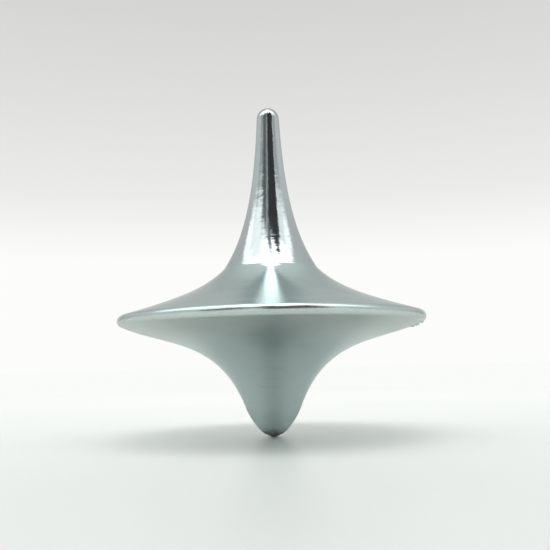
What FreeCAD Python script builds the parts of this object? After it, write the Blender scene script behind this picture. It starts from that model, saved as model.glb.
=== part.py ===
"""Finger-twirled metal spinning top, in millimetres.

Origin at the lowest point of the tip ball, where the top touches the table. +Z is the spin axis.
From the top down: a flared stem, a disc-shaped flywheel and a nose are drawn together by one
threaded stud, and a small ball, free to turn, is held by the rolled lip of the nose.
"""

import FreeCAD, Part
import math
import os

Vector = FreeCAD.Vector

# Overall size
HEIGHT = 36.4
RIM_RADIUS = 16.5

# Tip ball (3/32 inch bearing ball) and the pocket that holds it
BALL_RADIUS = 1.19
BALL_CLEARANCE = 0.03
LIP_HEIGHT = 0.32        # underside of the rolled lip above the table
LIP_WIDTH = 0.10
DRILL_HALF_ANGLE = math.radians(59.0)

# Nose: rounded end, then a straight cone that flares out under the flywheel
CONE_RADIUS = 3.0
CONE_HEIGHT = 3.17
CONE_ANGLE = math.radians(21.3)      # from the axis
NOSE_FULLNESS = 1.4
LIP_RUN = 0.71
LIP_ANGLE = math.radians(33.5)       # from the horizontal
FLARE_REACH = 7.95
NOSE_SEAM = 0.72         # share of the underside curve that belongs to the flywheel

# Flywheel rim and the slopes that meet it
RIM_HEIGHT = 12.42
RIM_ROUNDING = 0.58
TOP_SLOPE = math.radians(16.2)
UNDER_SLOPE = math.radians(23.9)
TOP_SLOPE_REACH = 5.9
UNDER_SLOPE_REACH = 5.2

# Crease where the stem's foot stands on the flywheel
FOOT_RADIUS = 5.15
FOOT_HEIGHT = 18.05
FOOT_RISE = (2.44, 3.71)             # stem's direction at the crease: inwards, upwards
DISC_FALL = (2.13, 2.14)             # flywheel's direction at the crease: outwards, downwards

# Stem grip
CAP_RADIUS = 1.26
GRIP_TAPER = math.radians(2.8)
GRIP_REACH = 8.2

# Registers that centre the three turned pieces on each other
SPIGOT_RADIUS = 3.0
SPIGOT_HEIGHT = 1.0
REGISTER_GAP = 0.02
SPIGOT_CHAMFER = 0.15

# M3 stud and its tapped holes
THREAD_MAJOR = 1.5
THREAD_MINOR = 1.2
THREAD_PITCH = 0.5
THREAD_GAP = 0.03
STUD_BOTTOM = 4.6
STUD_LENGTH = 20.0
HOLE_RUNOUT = 0.5
STUD_BORE = 1.6
HEX_FLATS = 1.5
HEX_DEPTH = 1.5


def point(r, z):
    """A point of the half section, at radius r and height z."""
    return Vector(r, 0, z)


def lines(points):
    """Straight edges through the points."""
    return [Part.LineSegment(a, b).toShape() for a, b in zip(points, points[1:])]


def bezier(*poles):
    curve = Part.BezierCurve()
    curve.setPoles(list(poles))
    return curve


def arc_about(centre, radius, start, end):
    """An arc of the half section; angles are from the outward horizontal."""
    spots = [centre + Vector(radius * math.cos(a), 0, radius * math.sin(a))
             for a in (start, (start + end) / 2, end)]
    return Part.Arc(*spots)


def turned(edges):
    """The solid swept by a closed half section turned once about the axis."""
    wire = Part.Wire(Part.__sortEdges__(edges))
    return Part.Face(wire).revolve(Vector(0, 0, 0), Vector(0, 0, 1), 360)


def stem_outline():
    """Cap and flare, from the top of the axis down to the crease."""
    centre = point(0, HEIGHT - CAP_RADIUS)
    cap = arc_about(centre, CAP_RADIUS, math.pi / 2, GRIP_TAPER)
    start = cap.EndPoint
    down = Vector(math.sin(GRIP_TAPER), 0, -math.cos(GRIP_TAPER))
    crease = point(FOOT_RADIUS, FOOT_HEIGHT)
    rise = Vector(-FOOT_RISE[0], 0, FOOT_RISE[1])
    flare = bezier(start, start + down * GRIP_REACH, crease + rise, crease)
    return [cap.toShape(), flare.toShape()]


def rim_ends():
    """The rim arc, with the directions in which the slopes leave it."""
    centre = point(RIM_RADIUS - RIM_ROUNDING, RIM_HEIGHT)
    upper = math.pi / 2 - TOP_SLOPE
    lower = UNDER_SLOPE - math.pi / 2
    arc = arc_about(centre, RIM_ROUNDING, upper, lower)
    inward_up = Vector(-math.cos(TOP_SLOPE), 0, math.sin(TOP_SLOPE))
    inward_down = Vector(-math.cos(UNDER_SLOPE), 0, -math.sin(UNDER_SLOPE))
    return arc, inward_up, inward_down


def disc_top():
    """Flywheel's upper surface, from the crease out to the rim."""
    arc, inward_up, _ = rim_ends()
    crease = point(FOOT_RADIUS, FOOT_HEIGHT)
    fall = Vector(DISC_FALL[0], 0, -DISC_FALL[1])
    edge = arc.StartPoint
    return bezier(crease, crease + fall, edge + inward_up * TOP_SLOPE_REACH, edge)


def underside():
    """The curve from the rim to the straight cone of the nose."""
    arc, _, inward_down = rim_ends()
    edge = arc.EndPoint
    cone = point(CONE_RADIUS, CONE_HEIGHT)
    up_cone = Vector(math.sin(CONE_ANGLE), 0, math.cos(CONE_ANGLE))
    return bezier(edge, edge + inward_down * UNDER_SLOPE_REACH, cone + up_cone * FLARE_REACH, cone)


def split_underside():
    """The flywheel's share and the nose's share of the underside curve, and the seam point."""
    outer, inner = underside(), underside()
    outer.segment(0, NOSE_SEAM)
    inner.segment(NOSE_SEAM, 1)
    return outer, inner, outer.EndPoint


def thread_outline(bottom, top, gap):
    """Points up a threaded surface, one V ridge per pitch, from bottom to top."""
    crest, root = THREAD_MAJOR + gap, THREAD_MINOR + gap
    points = []
    for turn in range(round((top - bottom) / THREAD_PITCH)):
        z = bottom + turn * THREAD_PITCH
        points.append(point(root, z))
        points.append(point(crest, z + THREAD_PITCH / 2))
    points.append(point(root, top))
    return points


def stem():
    """Turned grip with a flat foot, a centring spigot and a tapped hole."""
    stud_top = STUD_BOTTOM + STUD_LENGTH
    mouth = FOOT_HEIGHT - SPIGOT_HEIGHT
    first = STUD_BOTTOM + math.ceil((mouth - STUD_BOTTOM) / THREAD_PITCH) * THREAD_PITCH
    end = stud_top + HOLE_RUNOUT
    wall = THREAD_MINOR + THREAD_GAP
    apex = end + wall / math.tan(DRILL_HALF_ANGLE)
    inside = [point(FOOT_RADIUS, FOOT_HEIGHT), point(SPIGOT_RADIUS, FOOT_HEIGHT),
              point(SPIGOT_RADIUS, mouth + SPIGOT_CHAMFER),
              point(SPIGOT_RADIUS - SPIGOT_CHAMFER, mouth), point(THREAD_MAJOR + THREAD_GAP, mouth)]
    inside += thread_outline(first, stud_top, THREAD_GAP)
    inside += [point(wall, end), point(0, apex), point(0, HEIGHT)]
    return turned(stem_outline() + lines(inside))


def flywheel():
    """Disc with a rounded rim, a stud bore and a register counterbore in each face."""
    arc, _, _ = rim_ends()
    outer, _, seam = split_underside()
    register = SPIGOT_RADIUS + REGISTER_GAP
    depth = SPIGOT_HEIGHT + REGISTER_GAP
    core = [seam, point(register, seam.z), point(register, seam.z + depth),
            point(STUD_BORE, seam.z + depth), point(STUD_BORE, FOOT_HEIGHT - depth),
            point(register, FOOT_HEIGHT - depth), point(register, FOOT_HEIGHT),
            point(FOOT_RADIUS, FOOT_HEIGHT)]
    return turned([disc_top().toShape(), arc.toShape(), outer.toShape()] + lines(core))


def nose_end():
    """The rounded end of the nose, from the cone to the rolled lip."""
    cone = point(CONE_RADIUS, CONE_HEIGHT)
    down_cone = Vector(-math.sin(CONE_ANGLE), 0, -math.cos(CONE_ANGLE))
    lip = point(mouth_radius() + LIP_WIDTH, LIP_HEIGHT)
    along_lip = Vector(math.cos(LIP_ANGLE), 0, math.sin(LIP_ANGLE))
    return bezier(cone, cone + down_cone * NOSE_FULLNESS, lip + along_lip * LIP_RUN, lip)


def mouth_radius():
    """Radius of the pocket's mouth, where the rolled lip meets the pocket's sphere."""
    pocket = BALL_RADIUS + BALL_CLEARANCE
    return math.sqrt(pocket ** 2 - (BALL_RADIUS - LIP_HEIGHT) ** 2)


def nose():
    """Flared cone with a spigot and tapped hole above, and the ball's pocket below."""
    _, inner, seam = split_underside()
    pocket = BALL_RADIUS + BALL_CLEARANCE
    centre = point(0, BALL_RADIUS)
    dip = math.asin((LIP_HEIGHT - BALL_RADIUS) / pocket)
    socket = arc_about(centre, pocket, dip, 0)
    seat_apex = BALL_RADIUS + pocket / math.sin(DRILL_HALF_ANGLE)
    seat_start = seat_apex - pocket / math.tan(DRILL_HALF_ANGLE)
    lip = point(mouth_radius() + LIP_WIDTH, LIP_HEIGHT)
    mouth = seam.z + SPIGOT_HEIGHT
    last = STUD_BOTTOM + math.floor((mouth - STUD_BOTTOM) / THREAD_PITCH) * THREAD_PITCH
    wall = THREAD_MINOR + THREAD_GAP
    end = STUD_BOTTOM - HOLE_RUNOUT
    hole_apex = end - wall / math.tan(DRILL_HALF_ANGLE)
    core = [socket.EndPoint, point(pocket, seat_start), point(0, seat_apex), point(0, hole_apex),
            point(wall, end)]
    core += thread_outline(STUD_BOTTOM, last, THREAD_GAP)
    core += [point(THREAD_MAJOR + THREAD_GAP, mouth), point(SPIGOT_RADIUS - SPIGOT_CHAMFER, mouth),
             point(SPIGOT_RADIUS, mouth - SPIGOT_CHAMFER), point(SPIGOT_RADIUS, seam.z), seam]
    edges = [inner.toShape(), nose_end().toShape(), socket.toShape()]
    return turned(edges + lines([lip, socket.StartPoint]) + lines(core))


def clamp_stud():
    """M3 stud, threaded all along, with a hexagon socket in its upper end."""
    top = STUD_BOTTOM + STUD_LENGTH
    thread = thread_outline(STUD_BOTTOM, top, 0)
    outline = [point(0, STUD_BOTTOM)] + thread + [point(0, top), point(0, STUD_BOTTOM)]
    corner = HEX_FLATS / math.sqrt(3)
    hexagon = [Vector(corner * math.cos(a), corner * math.sin(a), top - HEX_DEPTH)
               for a in (math.radians(60 * k) for k in range(7))]
    socket = Part.Face(Part.makePolygon(hexagon)).extrude(Vector(0, 0, HEX_DEPTH + 1))
    return turned(lines(outline)).cut(socket)


def tip_ball():
    """Bearing ball that the top spins on."""
    return Part.makeSphere(BALL_RADIUS, Vector(0, 0, BALL_RADIUS))


def main():
    os.makedirs("parts", exist_ok=True)
    for make in (stem, flywheel, nose, clamp_stud, tip_ball):
        shape = make()
        solid = shape if shape.ShapeType == "Solid" else shape.Solids[0]
        print(f"{make.__name__}: valid {solid.isValid()}, {solid.Volume:.1f} mm3")
        solid.exportStep(f"parts/{make.__name__}.step")


main()
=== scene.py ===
import math

import bmesh
import bpy
from bpy.props import FloatProperty, FloatVectorProperty, IntProperty, PointerProperty
from mathutils import Euler, Matrix, Vector, noise


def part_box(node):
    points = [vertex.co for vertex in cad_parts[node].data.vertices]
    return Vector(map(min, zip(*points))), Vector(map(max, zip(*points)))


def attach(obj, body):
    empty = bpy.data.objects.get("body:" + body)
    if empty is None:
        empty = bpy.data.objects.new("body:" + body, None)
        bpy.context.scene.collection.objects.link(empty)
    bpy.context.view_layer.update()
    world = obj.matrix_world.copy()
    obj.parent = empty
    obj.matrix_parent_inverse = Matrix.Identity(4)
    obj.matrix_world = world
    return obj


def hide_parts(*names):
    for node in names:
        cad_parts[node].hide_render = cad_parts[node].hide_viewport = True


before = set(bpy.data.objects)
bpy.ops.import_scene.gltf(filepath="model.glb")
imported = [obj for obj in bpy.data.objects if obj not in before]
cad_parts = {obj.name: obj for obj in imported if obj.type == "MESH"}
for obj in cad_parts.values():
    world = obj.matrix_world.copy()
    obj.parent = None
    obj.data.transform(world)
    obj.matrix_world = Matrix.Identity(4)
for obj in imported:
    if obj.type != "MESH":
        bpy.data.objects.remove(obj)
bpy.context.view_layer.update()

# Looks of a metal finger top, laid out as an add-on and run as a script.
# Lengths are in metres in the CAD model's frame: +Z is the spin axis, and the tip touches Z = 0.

bl_info = {
    "name": "Metal Spinning Top",
    "version": (1, 0, 0),
    "blender": (4, 5, 0),
    "location": "View3D > Sidebar > Spinning Top",
    "description": "Builds a turned metal spinning top, its finishes and a pale studio",
    "category": "Add Mesh",
}

MM = 0.001
MERGE = 0.0001 * MM

# Corners of the CAD nodes that the outlines are drawn to
STEM_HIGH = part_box("stem")[1]
WHEEL_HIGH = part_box("flywheel")[1]
NOSE_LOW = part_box("nose")[0]
STUD_LOW, STUD_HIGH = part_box("clamp_stud")
BALL_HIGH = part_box("tip_ball")[1]

# Steps along each stretch of the outlines
CAP_STEPS = 24
FLARE_STEPS = 110
UPPER_FACE_STEPS = 64
RIM_STEPS = 30
LOWER_FACE_STEPS = 48
NOSE_FLARE_STEPS = 30
NOSE_END_STEPS = 44
POCKET_STEPS = 14
BALL_STEPS = 48

# Facets round the stud and the ball, and round the table
SMALL_SEGMENTS = 96
TABLE_SEGMENTS = 96
# An edge is sharp where its faces turn by more than this
SHARP_ANGLE = math.radians(35)


# --------------------------------------------------------------------------------------------------
# Settings that a user would change
# --------------------------------------------------------------------------------------------------

def length(name, description, default):
    return FloatProperty(name=name, description=description, default=default,
                         unit="LENGTH", subtype="DISTANCE", precision=5)


def angle(name, description, degrees):
    return FloatProperty(name=name, description=description, default=math.radians(degrees),
                         unit="ROTATION", subtype="ANGLE")


def share(name, description, default):
    return FloatProperty(name=name, description=description, default=default,
                         min=0.0, max=1.0, subtype="FACTOR")


def count(name, description, default):
    return IntProperty(name=name, description=description, default=default, min=3)


def colour(name, description, default):
    return FloatVectorProperty(name=name, description=description, default=default,
                               size=3, min=0.0, max=1.0, subtype="COLOR")


class TopShape(bpy.types.PropertyGroup):
    """Sizes of the top. The ends of each piece come from the CAD model."""

    height: length("Height", "Top of the stem above the table", STEM_HIGH.z)
    cap_radius: length("Cap radius", "Rounding of the stem's end", 1.26 * MM)
    grip_taper: angle("Grip taper", "Slope of the stem below its cap, from the axis", 2.8)
    grip_reach: length("Grip reach", "How far the stem keeps its taper", 8.2 * MM)
    foot_radius: length("Foot radius", "Radius at the crease under the stem", STEM_HIGH.x)
    foot_height: length("Foot height", "Height of the crease under the stem", WHEEL_HIGH.z)
    foot_in: length("Foot run", "Inward run of the stem's curve at the crease", 2.44 * MM)
    foot_up: length("Foot rise", "Upward run of the stem's curve at the crease", 3.71 * MM)
    disc_out: length("Disc run", "Outward run of the disc's curve at the crease", 2.13 * MM)
    disc_down: length("Disc fall", "Downward run of the disc's curve at the crease", 2.14 * MM)
    rim_radius: length("Rim radius", "Radius at the widest line", WHEEL_HIGH.x)
    rim_height: length("Rim height", "Height of the widest line", 12.42 * MM)
    rim_rounding: length("Rim rounding", "Radius of the rim's rounded edge", 0.58 * MM)
    top_slope: angle("Top slope", "Slope of the disc's upper face at the rim", 16.2)
    top_reach: length("Top reach", "How far the upper face keeps its slope", 5.9 * MM)
    under_slope: angle("Under slope", "Slope of the disc's lower face at the rim", 23.9)
    under_reach: length("Under reach", "How far the lower face keeps its slope", 5.2 * MM)
    seam_share: share("Seam share", "Share of the underside curve above the nose's seam", 0.72)
    cone_radius: length("Cone radius", "Radius where the nose's cone ends", 3.0 * MM)
    cone_height: length("Cone height", "Height where the nose's cone ends", 3.17 * MM)
    cone_angle: angle("Cone angle", "Slope of the nose's cone, from the axis", 21.3)
    flare_reach: length("Flare reach", "How far the cone's slope carries up the flare", 7.95 * MM)
    nose_fullness: length("Nose fullness", "How far the cone's slope carries down the nose",
                          1.4 * MM)
    lip_width: length("Lip width", "Width of the rolled lip round the ball", 0.1 * MM)
    lip_run: length("Lip run", "How far the lip's slope carries up the nose", 0.71 * MM)
    lip_angle: angle("Lip angle", "Slope of the nose at the lip", 33.5)
    ball_radius: length("Ball radius", "Radius of the tip ball", BALL_HIGH.x)
    ball_gap: length("Ball gap", "Clearance of the ball in its pocket", 0.03 * MM)
    ball_flat: length("Ball flat", "Radius of the flat worn on the ball", 0.05 * MM)
    spigot_radius: length("Spigot radius", "Radius of the centring spigots", 3.0 * MM)
    spigot_height: length("Spigot height", "Height of the centring spigots", 1.0 * MM)
    spigot_chamfer: length("Spigot chamfer", "Chamfer on the centring spigots", 0.15 * MM)
    register_gap: length("Register gap", "Clearance round the centring spigots", 0.02 * MM)
    bore_radius: length("Bore radius", "Radius of the flywheel's bore", 1.6 * MM)
    thread_major: length("Thread major radius", "Crest radius of the stud's thread", 1.5 * MM)
    thread_minor: length("Thread minor radius", "Root radius of the stud's thread", 1.2 * MM)
    thread_pitch: length("Thread pitch", "Pitch of the stud's thread", 0.5 * MM)
    thread_gap: length("Thread gap", "Clearance in the tapped holes", 0.03 * MM)
    hole_runout: length("Hole runout", "Plain depth past the end of a tapped hole", 0.5 * MM)
    drill_angle: angle("Drill angle", "Half angle of a drilled hole's end", 59.0)
    hex_flats: length("Hexagon size", "Size of the stud's key, across flats", 1.5 * MM)
    hex_depth: length("Hexagon depth", "Depth of the stud's socket", 1.5 * MM)
    segments: count("Segments", "Facets round the largest piece", 320)
    nick_size: length("Nick size", "Reach of the nick on the rim", 1.15 * MM)
    nick_depth: length("Nick depth", "Depth of the nick on the rim", 0.45 * MM)


class TopFinish(bpy.types.PropertyGroup):
    """Colours and finishes of the metal."""

    polished: colour("Polished metal", "Colour of the stem", (0.60, 0.665, 0.675))
    polished_roughness: share("Polish roughness", "Roughness of the stem", 0.09)
    # Painted light and shade on one turned metal: the disc's upper face is coloured lighter than
    # its lower face, and the lower face darker and greyer near the rim
    satin: colour("Satin metal", "Colour of the disc's upper face", (0.63, 0.765, 0.75))
    nose: colour("Underside metal", "Colour of the disc's lower face and the nose",
                 (0.615, 0.705, 0.71))
    rim: colour("Rim metal", "Colour of the disc's lower face at the rim", (0.59, 0.645, 0.635))
    foot_roughness: share("Foot roughness", "Roughness of the disc round the stem's foot", 0.07)
    satin_roughness: share("Satin roughness", "Roughness of the disc's upper face", 0.22)
    nose_roughness: share("Underside roughness", "Roughness of the disc's lower face and the nose",
                          0.3)
    grain: share("Grain", "Stretch of highlights across the turning marks", 0.6)
    stud: colour("Stud", "Colour of the stud", (0.30, 0.30, 0.31))
    ball: colour("Ball", "Colour of the tip ball", (0.36, 0.37, 0.38))


class TopStage(bpy.types.PropertyGroup):
    """Camera, floor and studio."""

    camera_distance: length("Camera distance", "Camera to the spin axis", 76.35 * MM)
    camera_height: length("Camera height", "Camera above the table", 7.73 * MM)
    aim_height: length("Aim height", "Height that the camera looks at", 17.42 * MM)
    aim_side: length("Aim side", "How far right of the axis the camera looks", 0.45 * MM)
    camera_roll: angle("Camera roll", "Tilt of the camera about its view", 1.2)
    field_of_view: angle("Field of view", "The camera's angle of view", 42.9)
    floor: colour("Floor", "Colour of the table", (0.745, 0.778, 0.75))
    # Painted shade: the table's colour darkens towards its front edge, where less light falls
    floor_front_shade: share("Floor front", "Tone of the table's front edge, against the rest", 0.95)
    front_shade_from: length("Front from", "Where the table starts to take its front tone", 5 * MM)
    front_shade_to: length("Front to", "Where the table has taken its front tone", -45 * MM)
    floor_roughness: share("Floor roughness", "Roughness of the table", 0.25)
    floor_gloss: share("Floor gloss", "Share of the table that is glossy", 0.45)
    # Painted light: near the top a small share of the table glows, lightening the shade beneath the
    # top
    table_painted_glow: share("Floor glow", "Share of the table's light that comes from within it", 0.035)
    floor_radius: length("Floor radius", "Radius of the table", 1.5)
    fade_start: length("Fade start", "Distance at which the table starts to fade out", 18 * MM)
    fade_end: length("Fade end", "Distance at which the table has faded out", 130 * MM)
    horizon: colour("Horizon", "Colour of the backdrop near the table", (0.95, 0.97, 0.95))


# --------------------------------------------------------------------------------------------------
# Outlines, as (radius, height) points of a half section
# --------------------------------------------------------------------------------------------------

def heading(slope, size=1.0):
    """A step of the given size in the half section, at a slope in radians above the horizontal."""
    return Vector((math.cos(slope), math.sin(slope))) * size


def bezier(poles, steps, start=0.0, end=1.0):
    """Points along the stretch of a cubic Bezier curve from start to end, both included."""
    a, b, c, d = poles
    points = []
    for i in range(steps + 1):
        t = start + (end - start) * i / steps
        s = 1.0 - t
        points.append(a * s ** 3 + b * (3 * s * s * t) + c * (3 * s * t * t) + d * t ** 3)
    return points


def arc(centre, radius, start, end, steps):
    """Points along an arc, both ends included."""
    return [centre + heading(start + (end - start) * i / steps, radius) for i in range(steps + 1)]


def thread(shape, bottom, top, gap):
    """Points up a threaded wall, one V ridge to a pitch."""
    root, crest = shape.thread_minor + gap, shape.thread_major + gap
    points = []
    for turn in range(round((top - bottom) / shape.thread_pitch)):
        z = bottom + turn * shape.thread_pitch
        points.append(Vector((root, z)))
        points.append(Vector((crest, z + shape.thread_pitch / 2)))
    points.append(Vector((root, top)))
    return points


def crease(shape):
    """Where the stem's flare meets the disc's upper face."""
    return Vector((shape.foot_radius, shape.foot_height))


def stem_outline(shape):
    """From the top of the cap down the flare, then up the spigot and the tapped hole."""
    cap = arc(Vector((0, shape.height - shape.cap_radius)), shape.cap_radius,
              math.pi / 2, shape.grip_taper, CAP_STEPS)
    down = heading(shape.grip_taper - math.pi / 2, shape.grip_reach)
    rise = Vector((-shape.foot_in, shape.foot_up))
    flare = bezier((cap[-1], cap[-1] + down, crease(shape) + rise, crease(shape)), FLARE_STEPS)
    mouth = shape.foot_height - shape.spigot_height
    turns = math.ceil((mouth - STUD_LOW.z) / shape.thread_pitch)
    wall = shape.thread_minor + shape.thread_gap
    end = STUD_HIGH.z + shape.hole_runout
    inside = [Vector((shape.spigot_radius, shape.foot_height)),
              Vector((shape.spigot_radius, mouth + shape.spigot_chamfer)),
              Vector((shape.spigot_radius - shape.spigot_chamfer, mouth)),
              Vector((shape.thread_major + shape.thread_gap, mouth))]
    inside += thread(shape, STUD_LOW.z + turns * shape.thread_pitch, STUD_HIGH.z, shape.thread_gap)
    inside += [Vector((wall, end)), Vector((0, end + wall / math.tan(shape.drill_angle)))]
    return cap + flare[1:] + inside


def rim_arc(shape):
    """The rim's rounded edge, from the upper face to the lower."""
    centre = Vector((shape.rim_radius - shape.rim_rounding, shape.rim_height))
    return arc(centre, shape.rim_rounding, math.pi / 2 - shape.top_slope,
               shape.under_slope - math.pi / 2, RIM_STEPS)


def underside_poles(shape):
    """Poles of the curve from the rim down to the nose's cone."""
    edge = rim_arc(shape)[-1]
    cone = Vector((shape.cone_radius, shape.cone_height))
    inward = heading(math.pi + shape.under_slope, shape.under_reach)
    up_cone = heading(math.pi / 2 - shape.cone_angle, shape.flare_reach)
    return edge, edge + inward, cone + up_cone, cone


def flywheel_outline(shape):
    """A closed loop: upper face, rim, lower face, then up through both registers and the bore."""
    rim = rim_arc(shape)
    fall = Vector((shape.disc_out, -shape.disc_down))
    inward = heading(math.pi - shape.top_slope, shape.top_reach)
    top = bezier((crease(shape), crease(shape) + fall, rim[0] + inward, rim[0]), UPPER_FACE_STEPS)
    under = bezier(underside_poles(shape), LOWER_FACE_STEPS, 0.0, shape.seam_share)
    register = shape.spigot_radius + shape.register_gap
    depth = shape.spigot_height + shape.register_gap
    low, high = under[-1].y, shape.foot_height
    core = [Vector((register, low)), Vector((register, low + depth)),
            Vector((shape.bore_radius, low + depth)), Vector((shape.bore_radius, high - depth)),
            Vector((register, high - depth)), Vector((register, high))]
    return top + rim[1:] + under[1:] + core


def nose_outline(shape):
    """Two lines: the seam down to the lip and up the ball's pocket, then the tapped end."""
    flare = bezier(underside_poles(shape), NOSE_FLARE_STEPS, shape.seam_share, 1.0)
    seam, cone = flare[0], flare[-1]
    pocket = shape.ball_radius + shape.ball_gap
    lip_z = NOSE_LOW.z
    mouth = math.sqrt(pocket ** 2 - (shape.ball_radius - lip_z) ** 2)
    lip = Vector((mouth + shape.lip_width, lip_z))
    down = heading(-math.pi / 2 - shape.cone_angle, shape.nose_fullness)
    up_lip = heading(shape.lip_angle, shape.lip_run)
    end = bezier((cone, cone + down, lip + up_lip, lip), NOSE_END_STEPS)
    dip = math.asin((lip_z - shape.ball_radius) / pocket)
    socket = arc(Vector((0, shape.ball_radius)), pocket, dip, 0, POCKET_STEPS)
    seat_apex = shape.ball_radius + pocket / math.sin(shape.drill_angle)
    seat_foot = seat_apex - pocket / math.tan(shape.drill_angle)
    seat = [Vector((pocket, seat_foot)), Vector((0, seat_apex))]
    return flare + end[1:] + socket + seat, tapped_nose(shape, seam)


def tapped_nose(shape, seam):
    """From the end of the tapped hole up to its mouth, over the spigot and out to the seam."""
    wall = shape.thread_minor + shape.thread_gap
    end = STUD_LOW.z - shape.hole_runout
    mouth = seam.y + shape.spigot_height
    turns = math.floor((mouth - STUD_LOW.z) / shape.thread_pitch)
    points = [Vector((0, end - wall / math.tan(shape.drill_angle))), Vector((wall, end))]
    points += thread(shape, STUD_LOW.z, STUD_LOW.z + turns * shape.thread_pitch, shape.thread_gap)
    points += [Vector((shape.thread_major + shape.thread_gap, mouth)),
               Vector((shape.spigot_radius - shape.spigot_chamfer, mouth)),
               Vector((shape.spigot_radius, mouth - shape.spigot_chamfer)),
               Vector((shape.spigot_radius, seam.y)), seam]
    return points


def ball_outline(shape):
    """The tip ball, with a small flat worn where it touches the table."""
    start = -math.acos(shape.ball_flat / shape.ball_radius)
    centre = Vector((0, shape.ball_radius))
    curve = arc(centre, shape.ball_radius, start, math.pi / 2, BALL_STEPS)
    return [Vector((0, 0)), Vector((shape.ball_flat, 0))] + curve[1:]


# --------------------------------------------------------------------------------------------------
# Meshes
# --------------------------------------------------------------------------------------------------

def slim_segments(shape):
    """Facets round the stem and the nose, which are slimmer than the flywheel."""
    return shape.segments * 3 // 4


def turn(outlines, segments, closed=False):
    """A mesh turned once about the spin axis from one or more outlines."""
    mesh = bmesh.new()
    for outline in outlines:
        verts = [mesh.verts.new((r, 0, z)) for r, z in outline]
        edges = [mesh.edges.new(pair) for pair in zip(verts, verts[1:])]
        if closed:
            edges.append(mesh.edges.new((verts[-1], verts[0])))
        bmesh.ops.spin(mesh, geom=verts + edges, cent=(0, 0, 0), axis=(0, 0, 1), dvec=(0, 0, 0),
                       angle=math.tau, steps=segments, use_merge=True, use_duplicate=False)
    bmesh.ops.remove_doubles(mesh, verts=mesh.verts, dist=MERGE)
    return mesh


def add_piece(mesh, name, material, body, node):
    """Makes an object of the mesh, lets it ride on its body and stand for its CAD node."""
    bmesh.ops.recalc_face_normals(mesh, faces=mesh.faces)
    for face in mesh.faces:
        face.smooth = True
    data = bpy.data.meshes.new(name)
    mesh.to_mesh(data)
    mesh.free()
    data.set_sharp_from_angle(angle=SHARP_ANGLE)
    data.materials.append(material)
    piece = bpy.data.objects.new(name, data)
    bpy.context.scene.collection.objects.link(piece)
    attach(piece, body)
    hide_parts(node)
    return piece


# Where the nick is: how far in from the rim's widest line, how far below it, and how far round
NICK_IN, NICK_BELOW, NICK_ROUND = 0.95 * MM, 0.8 * MM, math.radians(-5)
# The nick's shape: the size of its coarse and of its fine raggedness, and the share of the fine,
# then its relief and how far it is sunk into the metal, both against the nick's depth
NICK_COARSE, NICK_FINE, NICK_FINE_SHARE = 0.3 * MM, 0.12 * MM, 0.35
NICK_RELIEF, NICK_SINK = 1.2, 0.2
# How many times the mesh round the nick is halved
NICK_CUTS = 3


def nick_rim(mesh, shape):
    """Presses one small ragged nick into the underside of the rim, with a raised burr beside it."""
    spot = Vector((shape.rim_radius - NICK_IN, 0, shape.rim_height - NICK_BELOW))
    spot.rotate(Euler((0, 0, NICK_ROUND)))
    reach = shape.nick_size
    for _ in range(NICK_CUTS):
        near = [e for e in mesh.edges if all((v.co - spot).length < reach for v in e.verts)]
        bmesh.ops.subdivide_edges(mesh, edges=near, cuts=1, use_grid_fill=True)
    mesh.normal_update()
    for vert in mesh.verts:
        away = (vert.co - spot).length / reach
        if away < 1.0:
            fine = NICK_FINE_SHARE * noise.noise(vert.co / NICK_FINE)
            ragged = noise.noise(vert.co / NICK_COARSE) + fine
            fade = (1.0 - away * away) ** 2
            vert.co += vert.normal * shape.nick_depth * fade * (NICK_RELIEF * ragged - NICK_SINK)


# --------------------------------------------------------------------------------------------------
# Shader node groups
# --------------------------------------------------------------------------------------------------

class Nodes:
    """A short way to add nodes and links to a node tree."""

    def __init__(self, tree):
        self.tree = tree
        self.tree.nodes.clear()

    def add(self, kind, inputs=None, **settings):
        """A node of a kind, with its inputs fed by name or number and its settings set."""
        node = self.tree.nodes.new(kind)
        for name, value in settings.items():
            setattr(node, name, value)
        for key, value in (inputs or {}).items():
            self.feed(node.inputs[key], value)
        return node

    def feed(self, socket, value):
        """Links another node's output into the socket, or sets its value."""
        if isinstance(value, bpy.types.NodeSocket):
            self.tree.links.new(value, socket)
        else:
            socket.default_value = value

    def math(self, operation, *values):
        """The result of a sum on values or other nodes' outputs."""
        node = self.add("ShaderNodeMath", operation=operation)
        for socket, value in zip(node.inputs, values):
            self.feed(socket, value)
        return node.outputs[0]

    def ramp(self, value, low, high, to_low=0.0, to_high=1.0):
        """Turns the value smoothly from to_low at low into to_high at high."""
        node = self.add("ShaderNodeMapRange", {0: value, 1: low, 2: high, 3: to_low, 4: to_high},
                        interpolation_type="SMOOTHSTEP")
        return node.outputs[0]

    def scale(self, vector, factor):
        """The vector times a factor."""
        node = self.add("ShaderNodeVectorMath", {0: vector, "Scale": factor}, operation="SCALE")
        return node.outputs[0]

    def noise(self, vector, scale, detail=2.0, roughness=0.5):
        """Smooth noise from 0 to 1."""
        node = self.add("ShaderNodeTexNoise", {"Vector": vector, "Scale": scale, "Detail": detail,
                                               "Roughness": roughness})
        return node.outputs[0]


def new_group(name, inputs, outputs):
    """An empty node group with float inputs {name: default} after its Vector, and float outputs."""
    group = bpy.data.node_groups.new(name, "ShaderNodeTree")
    group.interface.new_socket("Vector", in_out="INPUT", socket_type="NodeSocketVector")
    for key, default in inputs.items():
        socket = group.interface.new_socket(key, in_out="INPUT", socket_type="NodeSocketFloat")
        socket.default_value = default
    for key in outputs:
        group.interface.new_socket(key, in_out="OUTPUT", socket_type="NodeSocketFloat")
    nodes = Nodes(group)
    return nodes, nodes.add("NodeGroupInput").outputs, nodes.add("NodeGroupOutput").inputs


# Least radius that an outward direction is worked out from, in the unit of the pattern
AXIS_GUARD = 0.001


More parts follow.
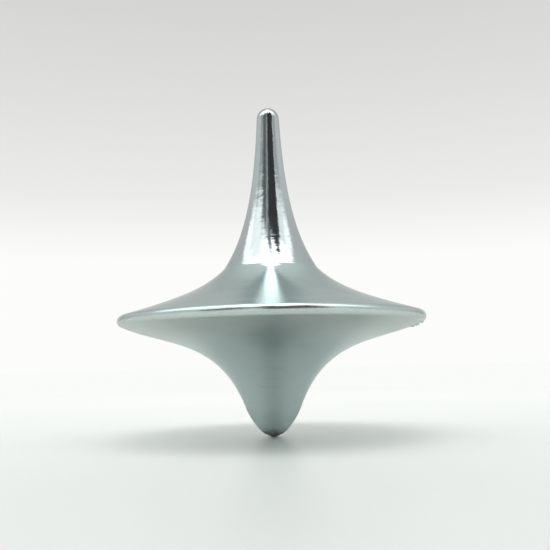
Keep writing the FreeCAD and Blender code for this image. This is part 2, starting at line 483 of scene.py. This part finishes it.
def polar(nodes, vector):
    """Radius, height and the two parts of the outward direction of a point."""
    x, y, z = nodes.add("ShaderNodeSeparateXYZ", {0: vector}).outputs
    radius = nodes.math("SQRT", nodes.math("ADD", nodes.math("MULTIPLY", x, x),
                                           nodes.math("MULTIPLY", y, y)))
    safe = nodes.math("MAXIMUM", radius, AXIS_GUARD)
    return radius, z, nodes.math("DIVIDE", x, safe), nodes.math("DIVIDE", y, safe)


def group_turning_marks():
    """Rings left by the lathe tool: noise along the outline that drifts slowly round the piece."""
    inputs = {"Lean": 1.0, "Fold": 0.0, "Pitch": 0.1, "Drift": 1.0}
    nodes, given, out = new_group("turning_marks", inputs, ("Height",))
    radius, z, east, north = polar(nodes, given["Vector"])
    rise = nodes.math("ABSOLUTE", nodes.math("SUBTRACT", z, given["Fold"]))
    along = nodes.math("MULTIPLY_ADD", rise, given["Lean"], radius)
    spot = nodes.add("ShaderNodeCombineXYZ", {
        0: nodes.math("DIVIDE", along, given["Pitch"]),
        1: nodes.math("MULTIPLY", east, given["Drift"]),
        2: nodes.math("MULTIPLY", north, given["Drift"])}).outputs[0]
    nodes.feed(out["Height"], nodes.noise(spot, 1.0, 3.0, 0.6))


def group_scratches():
    """Hairlines from handling, in two directions, each broken into short runs."""
    nodes, given, out = new_group("scratches", {"Spacing": 1.0, "Width": 0.03}, ("Mask",))
    layers = []
    for turned in ((0.4, 0.9, 0.3), (1.2, -0.5, 1.9)):
        placed = nodes.add("ShaderNodeMapping", {"Vector": given["Vector"], "Rotation": turned,
                                                 "Scale": (0.08, 1.0, 1.0)}).outputs[0]
        spread = nodes.scale(placed, nodes.math("DIVIDE", 1.0, given["Spacing"]))
        off_line = nodes.math("SUBTRACT", nodes.noise(spread, 1.0, 0.0), 0.5)
        off_line = nodes.math("ABSOLUTE", off_line)
        line = nodes.ramp(nodes.math("DIVIDE", off_line, given["Width"]), 1.0, 0.3)
        shown = nodes.ramp(nodes.noise(placed, 0.9, 2.0), 0.58, 0.66)
        layers.append(nodes.math("MULTIPLY", line, shown))
    nodes.feed(out["Mask"], nodes.math("MAXIMUM", *layers))


def group_smudges():
    """Large soft patches where fingers have dulled the metal."""
    nodes, given, out = new_group("smudges", {"Size": 5.0}, ("Mask",))
    placed = nodes.scale(given["Vector"], nodes.math("DIVIDE", 1.0, given["Size"]))
    patch = nodes.noise(placed, 1.0, 4.0, 0.55)
    nodes.feed(out["Mask"], nodes.ramp(patch, 0.42, 0.68))


def group_edge_wear_and_shade():
    """A mask along one edge that runs round the piece, broken up by noise: wear, and round the
    nose's tip and the ball also painted shade.
    """
    inputs = {"Radius": 1.0, "Height": 1.0, "Reach": 0.5}
    nodes, given, out = new_group("edge_wear_and_shade", inputs, ("Mask",))
    radius, z, _, _ = polar(nodes, given["Vector"])
    across = nodes.math("SUBTRACT", radius, given["Radius"])
    up = nodes.math("SUBTRACT", z, given["Height"])
    away = nodes.math("SQRT", nodes.math("ADD", nodes.math("MULTIPLY", across, across),
                                         nodes.math("MULTIPLY", up, up)))
    near = nodes.math("SUBTRACT", 1.0, nodes.math("DIVIDE", away, given["Reach"]))
    broken = nodes.noise(given["Vector"], 2.2, 5.0, 0.65)
    nodes.feed(out["Mask"], nodes.ramp(nodes.math("MULTIPLY", near, broken), 0.05, 0.6))


def group_specks():
    """Sparse grains of dust and pinholes."""
    nodes, given, out = new_group("specks", {"Spacing": 1.5, "Size": 0.05}, ("Mask",))
    placed = nodes.scale(given["Vector"], nodes.math("DIVIDE", 1.0, given["Spacing"]))
    cells = nodes.add("ShaderNodeTexVoronoi", {"Vector": placed, "Scale": 1.0})
    chance = nodes.add("ShaderNodeSeparateColor", {0: cells.outputs["Color"]}).outputs[0]
    reach = nodes.math("MULTIPLY", given["Size"], chance)
    nodes.feed(out["Mask"], nodes.math("LESS_THAN", cells.outputs["Distance"], reach))


GROUPS = (group_turning_marks, group_scratches, group_smudges, group_edge_wear_and_shade, group_specks)


def use_group(nodes, name, vector, **values):
    """The output of a node group placed in a material, with its own values."""
    node = nodes.add("ShaderNodeGroup", node_tree=bpy.data.node_groups[name])
    nodes.feed(node.inputs["Vector"], vector)
    for key, value in values.items():
        node.inputs[key].default_value = value
    return node.outputs[0]


# --------------------------------------------------------------------------------------------------
# Materials
# --------------------------------------------------------------------------------------------------

# How much each mark changes the roughness of polished metal
RING_DULLING, SMUDGE_DULLING, SCRATCH_DULLING = 0.06, 0.05, 0.15
# How much each mark changes the roughness of satin metal
SATIN_BANDS, SATIN_SMUDGES, SATIN_WEAR = 0.08, 0.04, -0.05
# Half the height, in millimetres, over which one face's finish turns into the other's at the rim
RIM_BLEND = 0.4
# How far out from the foot, in millimetres, the disc gets as rough as its upper face
FOOT_BLEND = 8.0
# How far in from the widest line, in millimetres, the rim's painted shade starts and is whole
RIM_SHADE_FROM, RIM_SHADE_TO = 7.0, 1.0
# How far in from the widest line, in millimetres, the turning marks start to fade and are gone
MARKS_FADE_FROM, MARKS_FADE_TO = 3.0, 1.4
# Tones of a metal's colour: fingered, painted shade round the nose's tip, oiled, and painted
# contact shade on the ball where it meets the table
FINGERED, TIP_SHADE, OILED, BALL_CONTACT_SHADE = 0.93, 0.25, 0.6, 0.7
# What smudges and scratches multiply the satin metal's colour by
SATIN_DULLING = (0.9, 0.9, 0.9, 1.0)

# Reflectance of the metals seen edge on, less than a clean mirror's because of their haze
GRAZING_TINT = (0.72, 0.72, 0.72, 1.0)
# Turn of the highlights' stretch that lays it across the turning marks, as a share of a full turn
ACROSS_MARKS = 0.25


def new_metal(name, grain):
    """A bare metal material, with its object coordinates in millimetres."""
    material = bpy.data.materials.new(name)
    material.use_nodes = True
    nodes = Nodes(material.node_tree)
    shader = nodes.add("ShaderNodeBsdfPrincipled", {
        "Metallic": 1.0, "Anisotropic": grain, "Specular Tint": GRAZING_TINT,
        "Anisotropic Rotation": ACROSS_MARKS if grain else 0.0})
    nodes.add("ShaderNodeOutputMaterial", {"Surface": shader.outputs[0]})
    if grain:
        around = nodes.add("ShaderNodeTangent", direction_type="RADIAL", axis="Z")
        nodes.feed(shader.inputs["Tangent"], around.outputs[0])
    coords = nodes.add("ShaderNodeTexCoord").outputs["Object"]
    spot = nodes.add("ShaderNodeMapping", {"Vector": coords, "Scale": (1 / MM, 1 / MM, 1 / MM)})
    return material, nodes, shader, spot.outputs[0]


def tinted(nodes, tone, first, second):
    """A colour that goes from the first to the second with the tone; the first may be a socket."""
    mix = nodes.add("ShaderNodeMix", data_type="RGBA")
    nodes.feed(mix.inputs["Factor"], tone)
    nodes.feed(mix.inputs[6], first if isinstance(first, bpy.types.NodeSocket) else (*first, 1.0))
    mix.inputs[7].default_value = (*second, 1.0)
    return mix.outputs[2]


def scaled(rgb, factor):
    """The colour made lighter or darker."""
    return tuple(min(1.0, c * factor) for c in rgb)


def dulled_by(nodes, roughness, layers):
    """Adds to a roughness what each (mask, change) layer changes it by."""
    for mask, change in layers:
        roughness = nodes.math("MULTIPLY_ADD", mask, change, roughness)
    return roughness


def bump(nodes, shader, layers):
    """Chains one bump for each (height, depth in millimetres) layer into the shader's normal."""
    normal = None
    for height, depth in layers:
        node = nodes.add("ShaderNodeBump",
                         {"Strength": 1.0, "Distance": depth * MM, "Height": height})
        if normal:
            nodes.feed(node.inputs["Normal"], normal)
        normal = node.outputs[0]
    nodes.feed(shader.inputs["Normal"], normal)


def polished_metal(finish):
    """Mirror-polished metal of the stem, with faint rings, hairlines and finger marks."""
    material, nodes, shader, spot = new_metal("polished_metal", 0.35)
    rings = use_group(nodes, "turning_marks", spot, Lean=-1.0, Pitch=0.16, Drift=1.6)
    waves = use_group(nodes, "turning_marks", spot, Lean=-1.0, Pitch=1.4, Drift=1.1)
    dents = nodes.noise(spot, 1.1, 2.0, 0.5)
    scratches = use_group(nodes, "scratches", spot, Spacing=0.7, Width=0.05)
    smudge = use_group(nodes, "smudges", spot, Size=4.0)
    specks = use_group(nodes, "specks", spot, Spacing=1.3, Size=0.06)
    marks = ((smudge, SMUDGE_DULLING), (scratches, SCRATCH_DULLING), (rings, RING_DULLING))
    rough = dulled_by(nodes, finish.polished_roughness - RING_DULLING / 2, marks)
    nodes.feed(shader.inputs["Roughness"], rough)
    tone = nodes.math("MAXIMUM", nodes.math("MULTIPLY", smudge, 0.6), specks)
    fingered = scaled(finish.polished, FINGERED)
    nodes.feed(shader.inputs["Base Color"], tinted(nodes, tone, finish.polished, fingered))
    bump(nodes, shader, ((waves, 0.03), (dents, 0.02), (rings, 0.0025)))
    return material


def satin_metal(finish, shape):
    """Fine-turned metal of the flywheel and the nose, smoother round the stem's foot. Its colour
    holds painted light and shade: a lighter upper face, a darker and greyer lower face near the
    rim, and a darker tip.
    """
    material, nodes, shader, spot = new_metal("satin_metal", finish.grain)
    radius, z, _, _ = polar(nodes, spot)
    edge, waist, foot = shape.rim_radius / MM, shape.rim_height / MM, shape.foot_radius / MM
    rings = use_group(nodes, "turning_marks", spot, Lean=-1.0, Fold=waist, Pitch=0.24, Drift=1.6)
    bands = use_group(nodes, "turning_marks", spot, Lean=-1.0, Fold=waist, Pitch=0.8, Drift=0.8)
    scratches = use_group(nodes, "scratches", spot, Spacing=0.9, Width=0.05)
    smudge = use_group(nodes, "smudges", spot, Size=7.0)
    rim_wear = use_group(nodes, "edge_wear_and_shade", spot, Radius=edge - 0.6, Height=waist, Reach=1.2)
    # The lip's mask is real wear in the roughness and painted shade in the colour
    lip_wear_and_shade = use_group(nodes, "edge_wear_and_shade", spot, Radius=0.8, Height=0.3, Reach=1.9)
    worn = nodes.math("MAXIMUM", rim_wear, lip_wear_and_shade)
    upper = nodes.ramp(radius, foot, foot + FOOT_BLEND,
                       finish.foot_roughness, finish.satin_roughness)
    rough = nodes.ramp(z, waist - RIM_BLEND, waist + RIM_BLEND, finish.nose_roughness, upper)
    rough = dulled_by(nodes, rough, ((nodes.math("SUBTRACT", bands, 0.5), SATIN_BANDS),
                                     (smudge, SATIN_SMUDGES), (worn, SATIN_WEAR)))
    nodes.feed(shader.inputs["Roughness"], rough)
    # Painted light and shade: the upper face is coloured lighter than the lower face, and the lower
    # face darker and greyer near the rim
    side = nodes.ramp(z, waist - RIM_BLEND, waist + RIM_BLEND)
    rim_shade_share = nodes.ramp(radius, edge - RIM_SHADE_FROM, edge - RIM_SHADE_TO)
    lower = tinted(nodes, rim_shade_share, finish.nose, finish.rim)
    metal = tinted(nodes, side, lower, finish.satin)
    tone = nodes.math("MULTIPLY", nodes.math("ADD", smudge, scratches), 0.5)
    dulled = nodes.add("ShaderNodeMix", {"Factor": tone, 6: metal, 7: SATIN_DULLING},
                       data_type="RGBA", blend_type="MULTIPLY")
    # Painted shade: the nose's colour darkens towards the tip, where the contact shade falls
    tip_shaded = tinted(nodes, lip_wear_and_shade, dulled.outputs[2], scaled(finish.nose, TIP_SHADE))
    nodes.feed(shader.inputs["Base Color"], tip_shaded)
    marked = nodes.ramp(radius, edge - MARKS_FADE_FROM, edge - MARKS_FADE_TO, 1.0, 0.0)
    bump(nodes, shader, ((nodes.math("MULTIPLY", bands, marked), 0.02),
                         (nodes.math("MULTIPLY", rings, marked), 0.012)))
    return material


def stud_metal(finish):
    """Dark oiled steel of the stud."""
    material, nodes, shader, spot = new_metal("stud_metal", 0.3)
    marks = use_group(nodes, "turning_marks", spot, Lean=1.0, Pitch=0.09, Drift=3.0)
    oil = use_group(nodes, "smudges", spot, Size=1.6)
    nodes.feed(shader.inputs["Roughness"], nodes.math("MULTIPLY_ADD", marks, 0.2, 0.3))
    oiled = scaled(finish.stud, OILED)
    nodes.feed(shader.inputs["Base Color"], tinted(nodes, oil, finish.stud, oiled))
    bump(nodes, shader, ((marks, 0.002),))
    return material


def ball_metal(finish):
    """Hard steel of the tip ball, dull where it meets the table, with painted shade darkening its
    colour there.
    """
    material, nodes, shader, spot = new_metal("ball_metal", 0.0)
    contact_wear_and_shade = use_group(nodes, "edge_wear_and_shade", spot, Radius=0.0, Height=0.0, Reach=0.8)
    scratches = use_group(nodes, "scratches", spot, Spacing=0.4, Width=0.05)
    nodes.feed(shader.inputs["Roughness"], dulled_by(nodes, 0.1, ((contact_wear_and_shade, 0.3), (scratches, 0.1))))
    # Painted shade: the ball's colour is darker where it meets the table, where the contact shade
    # falls
    worn = scaled(finish.ball, BALL_CONTACT_SHADE)
    nodes.feed(shader.inputs["Base Color"], tinted(nodes, contact_wear_and_shade, finish.ball, worn))
    bump(nodes, shader, ((scratches, -0.001),))
    return material


# --------------------------------------------------------------------------------------------------
# Operators, one for each piece and one for the stage
# --------------------------------------------------------------------------------------------------

class TOP_OT_build_stem(bpy.types.Operator):
    """Builds the polished stem with its rounded cap, flared foot and tapped hole"""

    bl_idname = "spinning_top.build_stem"
    bl_label = "Build Stem"

    def execute(self, context):
        shape = context.scene.top_shape
        mesh = turn([stem_outline(shape)], slim_segments(shape))
        add_piece(mesh, "polished_stem", polished_metal(context.scene.top_finish),
                  "top", "stem")
        return {"FINISHED"}


class TOP_OT_build_flywheel(bpy.types.Operator):
    """Builds the flywheel disc, with its nicked rim, registers and bore"""

    bl_idname = "spinning_top.build_flywheel"
    bl_label = "Build Flywheel"

    def execute(self, context):
        shape, finish = context.scene.top_shape, context.scene.top_finish
        mesh = turn([flywheel_outline(shape)], shape.segments, closed=True)
        bmesh.ops.recalc_face_normals(mesh, faces=mesh.faces)
        nick_rim(mesh, shape)
        add_piece(mesh, "turned_flywheel", satin_metal(finish, shape),
                  "top", "flywheel")
        return {"FINISHED"}


class TOP_OT_build_nose(bpy.types.Operator):
    """Builds the tapered nose with its ball pocket and tapped hole"""

    bl_idname = "spinning_top.build_nose"
    bl_label = "Build Nose"

    def execute(self, context):
        shape, finish = context.scene.top_shape, context.scene.top_finish
        mesh = turn(nose_outline(shape), slim_segments(shape))
        add_piece(mesh, "turned_nose", satin_metal(finish, shape), "top", "nose")
        return {"FINISHED"}


class TOP_OT_build_stud(bpy.types.Operator):
    """Builds the threaded stud, with the hexagon socket in its upper end"""

    bl_idname = "spinning_top.build_stud"
    bl_label = "Build Stud"

    def execute(self, context):
        shape = context.scene.top_shape
        outline = [Vector((0, STUD_LOW.z))] + thread(shape, STUD_LOW.z, STUD_HIGH.z, 0.0)
        mesh = turn([outline], SMALL_SEGMENTS)
        rim = [e for e in mesh.edges if e.is_boundary]
        made = bmesh.ops.create_circle(mesh, segments=6, radius=shape.hex_flats / math.sqrt(3),
                                       matrix=Matrix.Translation((0, 0, STUD_HIGH.z)))
        hexagon = list({e for v in made["verts"] for e in v.link_edges})
        bmesh.ops.bridge_loops(mesh, edges=rim + hexagon)
        wall = bmesh.ops.extrude_edge_only(mesh, edges=hexagon)["geom"]
        floor = [g for g in wall if isinstance(g, bmesh.types.BMVert)]
        bmesh.ops.translate(mesh, verts=floor, vec=(0, 0, -shape.hex_depth))
        bmesh.ops.contextual_create(mesh, geom=floor)
        add_piece(mesh, "threaded_stud", stud_metal(context.scene.top_finish),
                  "top", "clamp_stud")
        return {"FINISHED"}


class TOP_OT_build_ball(bpy.types.Operator):
    """Builds the captive tip ball"""

    bl_idname = "spinning_top.build_ball"
    bl_label = "Build Tip Ball"

    def execute(self, context):
        shape = context.scene.top_shape
        mesh = turn([ball_outline(shape)], SMALL_SEGMENTS)
        add_piece(mesh, "captive_ball", ball_metal(context.scene.top_finish),
                  "tip", "tip_ball")
        return {"FINISHED"}


# Walls, lights and dark cards of the studio, as seen from the top: (name, azimuth from, to,
# elevation from, to, softness, slant, raggedness, level). All are in degrees but the slant, which
# is a rise per degree, and the level. Azimuth 0 is towards the camera and 90 is to its right.
# Each is laid over those before it.
STUDIO = (
    ("low_walls", -150, 150, -12, 16, 8, 0, 0, 0.62),
    ("low_room", -60, 60, -12, 20, 12, 0, 0, 0.85),
    ("front_wall", -78, 74, 16, 33, 9, 0, 0, 0.48),
    ("side_walls", -108, 92, 32, 100, 9, 0, 2, 1.15),
    ("ceiling", -104, 88, 54, 100, 9, 0, 2, 2.5),
    ("zenith", -200, 200, 79, 100, 7, 0, 0, 4.2),
    ("left_window", -106, -82, 31, 52, 6, 0, 3, 1.7),
    ("right_window", 68, 90, 36, 54, 6, 0, 3, 1.6),
    ("left_panel", -80, -40, 36, 64, 6, 0, 8, 1.4),
    ("slanted_card", -52, 6, 12, 49, 4, 0.7, 32, 0.26),
    ("ragged_card", -38, -24, 10, 40, 7, 0, 90, 0.1),
    ("gap_in_cards", -17, -12, 12, 52, 3, 0, 12, 0.55),
    ("black_card", -6, 43, 5, 58, 3, 0.4, 7, 0.05),
    ("far_lamp", 42, 50, 19, 23, 2, 0, 6, 1.4),
)
# Tone of the backdrop at each elevation in degrees
BACKDROP = ((-10, 0.98), (8.5, 0.98), (13.5, 0.84), (21, 0.745), (29, 0.66), (40, 0.62), (70, 0.74),
            (86, 0.8))
STUDIO_TINT = (0.992, 1.0, 0.985, 1.0)
# Size in degrees, across and up, of the ripples at the cards' edges and of the studio's mottle
RIPPLE_SIZE, MOTTLE_SIZE = (30.0, 1.5), (14.0, 5.0)
# Strength of the mottle, and the azimuths either side of the camera between which it fades out
MOTTLE, MOTTLE_FULL, MOTTLE_GONE = 0.9, 60, 100


def sky_patch_group():
    """One soft-edged patch of the studio, laid over the level beneath it."""
    keys = ("Azimuth", "Elevation", "Ripple", "West", "East", "Low", "High", "Soft", "Slant",
            "Ragged", "Level", "Under")
    group = bpy.data.node_groups.new("studio_patch", "ShaderNodeTree")
    for key in keys:
        group.interface.new_socket(key, in_out="INPUT", socket_type="NodeSocketFloat")
    group.interface.new_socket("Level", in_out="OUTPUT", socket_type="NodeSocketFloat")
    nodes = Nodes(group)
    given = nodes.add("NodeGroupInput").outputs
    middle = nodes.math("MULTIPLY", nodes.math("ADD", given["West"], given["East"]), 0.5)
    lean = nodes.math("MULTIPLY", nodes.math("SUBTRACT", given["Azimuth"], middle), given["Slant"])
    raised = nodes.math("SUBTRACT", given["Elevation"], lean)
    masks = []
    for value, low, high in ((given["Azimuth"], "West", "East"), (raised, "Low", "High")):
        inside = nodes.math("MINIMUM", nodes.math("SUBTRACT", value, given[low]),
                            nodes.math("SUBTRACT", given[high], value))
        inside = nodes.math("MULTIPLY_ADD", given["Ripple"], given["Ragged"], inside)
        masks.append(nodes.ramp(nodes.math("DIVIDE", inside, given["Soft"]), -0.5, 0.5))
    mask = nodes.math("MULTIPLY", *masks)
    change = nodes.math("SUBTRACT", given["Level"], given["Under"])
    level = nodes.math("MULTIPLY_ADD", mask, change, given["Under"])
    nodes.feed(nodes.add("NodeGroupOutput").inputs["Level"], level)
    return group


def blotches(nodes, azimuth, elevation, size, seed, detail):
    """Noise over the studio about zero, at a size in degrees across and up."""
    spot = nodes.add("ShaderNodeCombineXYZ", {0: nodes.math("DIVIDE", azimuth, size[0]),
                                              1: nodes.math("DIVIDE", elevation, size[1]), 2: seed})
    return nodes.math("SUBTRACT", nodes.noise(spot.outputs[0], 1.0, detail, 0.6), 0.5)


def build_world():
    """A pale backdrop that darkens upwards, with the studio's panels laid over it."""
    world = bpy.data.worlds.new("studio")
    bpy.context.scene.world = world
    world.use_nodes = True
    nodes = Nodes(world.node_tree)
    direction = nodes.add("ShaderNodeTexCoord").outputs["Generated"]
    x, y, z = nodes.add("ShaderNodeSeparateXYZ", {0: direction}).outputs
    elevation = nodes.math("DEGREES", nodes.math("ARCSINE", z))
    azimuth = nodes.math("DEGREES", nodes.math("ARCTAN2", x, nodes.math("MULTIPLY", y, -1.0)))
    ramp = nodes.add("ShaderNodeValToRGB", {0: nodes.math("MULTIPLY_ADD", elevation, 1 / 180, 0.5)})
    for index, (degrees, level) in enumerate(BACKDROP):
        while len(ramp.color_ramp.elements) <= index:
            ramp.color_ramp.elements.new(1.0)
        ramp.color_ramp.elements[index].position = degrees / 180 + 0.5
        ramp.color_ramp.elements[index].color = (level, level, level, 1.0)
    level = nodes.add("ShaderNodeRGBToBW", {0: ramp.outputs[0]}).outputs[0]
    ripple = blotches(nodes, azimuth, elevation, RIPPLE_SIZE, 0.0, 4.0)
    patch = sky_patch_group()
    for name, west, east, low, high, soft, slant, ragged, bright in STUDIO:
        node = nodes.add("ShaderNodeGroup", node_tree=patch, name=name)
        values = {"Azimuth": azimuth, "Elevation": elevation, "Ripple": ripple, "West": west,
                  "East": east, "Low": low, "High": high, "Soft": soft, "Slant": slant,
                  "Ragged": ragged, "Level": bright, "Under": level}
        for key, value in values.items():
            nodes.feed(node.inputs[key], value)
        level = node.outputs[0]
    mottle = blotches(nodes, azimuth, elevation, MOTTLE_SIZE, 7.0, 3.0)
    in_front = nodes.ramp(nodes.math("ABSOLUTE", azimuth), MOTTLE_GONE, MOTTLE_FULL, 0.0, MOTTLE)
    level = nodes.math("MULTIPLY", level, nodes.math("MULTIPLY_ADD", mottle, in_front, 1.0))
    background = nodes.add("ShaderNodeBackground", {"Color": STUDIO_TINT, "Strength": level})
    nodes.add("ShaderNodeOutputWorld", {"Surface": background.outputs[0]})


def build_floor(stage):
    """A pale, partly glossy table that fades into the backdrop, with painted shade towards its
    front edge and a painted glow that lightens its shade near the top.
    """
    mesh = bmesh.new()
    bmesh.ops.create_circle(mesh, cap_ends=True, segments=TABLE_SEGMENTS, radius=stage.floor_radius)
    data = bpy.data.meshes.new("floor")
    mesh.to_mesh(data)
    mesh.free()
    material = bpy.data.materials.new("pale_table")
    material.use_nodes = True
    nodes = Nodes(material.node_tree)
    coords = nodes.add("ShaderNodeTexCoord").outputs["Object"]
    away = nodes.add("ShaderNodeVectorMath", {0: coords}, operation="LENGTH").outputs["Value"]
    depth = nodes.add("ShaderNodeSeparateXYZ", {0: coords}).outputs[1]
    # Painted shade: the table's colour darkens towards the camera
    front = nodes.ramp(depth, stage.front_shade_from, stage.front_shade_to)
    table_colour_and_front_shade = tinted(nodes, front, stage.floor, scaled(stage.floor, stage.floor_front_shade))
    matt = nodes.add("ShaderNodeBsdfDiffuse", {"Color": table_colour_and_front_shade})
    glossy = nodes.add("ShaderNodeBsdfPrincipled", {"Base Color": table_colour_and_front_shade,
                                                    "Roughness": stage.floor_roughness})
    surface = nodes.add("ShaderNodeMixShader", {0: stage.floor_gloss, 1: matt.outputs[0],
                                                2: glossy.outputs[0]})
    glow = nodes.add("ShaderNodeEmission", {"Color": (*stage.horizon, 1.0)})
    # Painted light near the top, where the table keeps a small glow that lightens its shade;
    # farther out it fades into the backdrop's glow
    faded = nodes.ramp(away, stage.fade_start, stage.fade_end, stage.table_painted_glow)
    mix = nodes.add("ShaderNodeMixShader", {0: faded, 1: surface.outputs[0], 2: glow.outputs[0]})
    nodes.add("ShaderNodeOutputMaterial", {"Surface": mix.outputs[0]})
    data.materials.append(material)
    floor = bpy.data.objects.new("floor", data)
    bpy.context.scene.collection.objects.link(floor)


# Soft lamps aimed at the top's foot, seen only in their light and shadow:
# (name, place, diameter, watts)
LAMPS = (
    ("overhead_lamp", (-0.03, 0.0, 0.36), 0.2, 0.02),
    ("window_behind", (0.0, 0.34, 0.09), 0.26, 0.65),
)


def build_lamps():
    """The studio's lamps, hidden from the camera and from reflections."""
    for name, place, diameter, watts in LAMPS:
        light = bpy.data.lights.new(name, "AREA")
        light.shape = "DISK"
        light.size = diameter
        light.energy = watts
        lamp = bpy.data.objects.new(name, light)
        lamp.location = place
        lamp.rotation_euler = (-Vector(place)).to_track_quat("-Z", "Y").to_euler()
        lamp.visible_camera = False
        lamp.visible_glossy = False
        bpy.context.scene.collection.objects.link(lamp)


def build_camera(stage):
    """A camera in front of the top, a little above the table."""
    data = bpy.data.cameras.new("camera")
    data.angle = stage.field_of_view
    data.clip_start = 1 * MM
    camera = bpy.data.objects.new("camera", data)
    bpy.context.scene.collection.objects.link(camera)
    place = Vector((0, -stage.camera_distance, stage.camera_height))
    aim = Vector((stage.aim_side, 0, stage.aim_height))
    turned = (aim - place).to_track_quat("-Z", "Y").to_matrix().to_4x4()
    roll = Matrix.Rotation(-stage.camera_roll, 4, "Z")
    camera.matrix_world = Matrix.Translation(place) @ turned @ roll
    bpy.context.scene.camera = camera


class TOP_OT_build_stage(bpy.types.Operator):
    """Builds the camera, the pale table and the soft studio"""

    bl_idname = "spinning_top.build_stage"
    bl_label = "Build Stage"

    def execute(self, context):
        stage = context.scene.top_stage
        build_camera(stage)
        build_world()
        build_floor(stage)
        build_lamps()
        context.scene.view_settings.view_transform = "Standard"
        return {"FINISHED"}


class TOP_PT_panel(bpy.types.Panel):
    """Lists the builders in the 3D view's sidebar"""

    bl_idname = "TOP_PT_panel"
    bl_label = "Spinning Top"
    bl_space_type = "VIEW_3D"
    bl_region_type = "UI"
    bl_category = "Spinning Top"

    def draw(self, context):
        for name in BUILDERS:
            self.layout.operator(f"spinning_top.{name}")


BUILDERS = ("build_stage", "build_stem", "build_flywheel", "build_nose", "build_stud", "build_ball")
CLASSES = (TopShape, TopFinish, TopStage, TOP_OT_build_stem, TOP_OT_build_flywheel,
           TOP_OT_build_nose, TOP_OT_build_stud, TOP_OT_build_ball, TOP_OT_build_stage,
           TOP_PT_panel)


def register():
    for cls in CLASSES:
        bpy.utils.register_class(cls)
    bpy.types.Scene.top_shape = PointerProperty(type=TopShape)
    bpy.types.Scene.top_finish = PointerProperty(type=TopFinish)
    bpy.types.Scene.top_stage = PointerProperty(type=TopStage)


def unregister():
    del bpy.types.Scene.top_stage
    del bpy.types.Scene.top_finish
    del bpy.types.Scene.top_shape
    for cls in reversed(CLASSES):
        bpy.utils.unregister_class(cls)


def main():
    """Builds everything in order."""
    register()
    for make_group in GROUPS:
        make_group()
    for name in BUILDERS:
        getattr(bpy.ops.spinning_top, name)()


if __name__ == "__main__":
    main()
